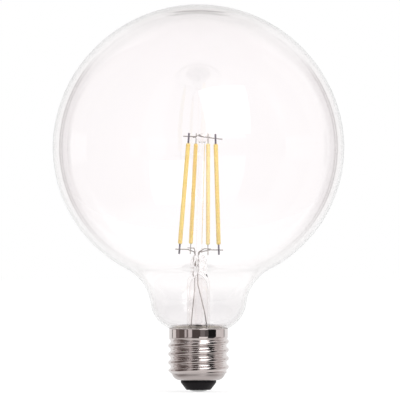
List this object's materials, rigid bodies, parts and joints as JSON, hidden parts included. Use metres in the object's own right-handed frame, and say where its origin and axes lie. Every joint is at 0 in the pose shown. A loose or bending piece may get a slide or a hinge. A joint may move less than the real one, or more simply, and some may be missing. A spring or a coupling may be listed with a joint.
{
  "type": "globe bulb with light strips",
  "caption": "Large clear glass globe bulb with upright yellow light strips on a glass stem and a rolled screw cap.",
  "frame": {"origin": "lowest point of the centre contact, on the lamp's axis", "axes": "+Z along the lamp's axis from the cap to the globe's crown; +X to the right of the picture, -Y towards its camera"},
  "size_m": [0.125, 0.1248, 0.1661],
  "materials": {
    "clear_glass": "clear, smooth",
    "nickel_wire": "dull nickel",
    "light_strip": "soft yellow silicone coat, unlit",
    "dark_tab": "dark, oxidised",
    "nickel_plate": "bright nickel plate, satin at the foot",
    "black_insulator": "black, half gloss",
    "contact_metal": "tinned, satin",
    "pale_cement": "matte",
    "green_board": "matte",
    "black_package": "matte",
    "capacitor_sleeve": "smooth sleeve",
    "resistor_coat": "matte",
    "tinned_wire": "tinned"
  },
  "bodies": {
    "root": {"glass_globe": "clear_glass", "glass_stem": "clear_glass", "exhaust_tube": "clear_glass", "support_rod": "clear_glass", "lead_wire_left": "nickel_wire", "lead_wire_right": "nickel_wire", "jumper_wire_left": "nickel_wire", "jumper_wire_right": "nickel_wire", "top_wire_outer": "nickel_wire", "top_wire_inner": "nickel_wire", "led_filament_1": "light_strip", "led_filament_2": "light_strip", "led_filament_3": "light_strip", "led_filament_4": "light_strip", "filament_bottom_tab_1": "dark_tab", "filament_top_tab_1": "dark_tab", "filament_bottom_tab_2": "dark_tab", "filament_top_tab_2": "dark_tab", "filament_bottom_tab_3": "dark_tab", "filament_top_tab_3": "dark_tab", "filament_bottom_tab_4": "dark_tab", "filament_top_tab_4": "dark_tab", "cap_shell": "nickel_plate", "cap_insulator": "black_insulator", "centre_contact": "contact_metal", "basing_cement": "pale_cement", "driver_board": "green_board", "bridge_rectifier": "black_package", "driver_chip": "black_package", "sense_resistor": "black_package", "smoothing_capacitor": "capacitor_sleeve", "fusible_resistor": "resistor_coat", "contact_wire_upper": "tinned_wire", "contact_wire_lower": "tinned_wire", "shell_wire": "tinned_wire"}
  },
  "joints": []
}
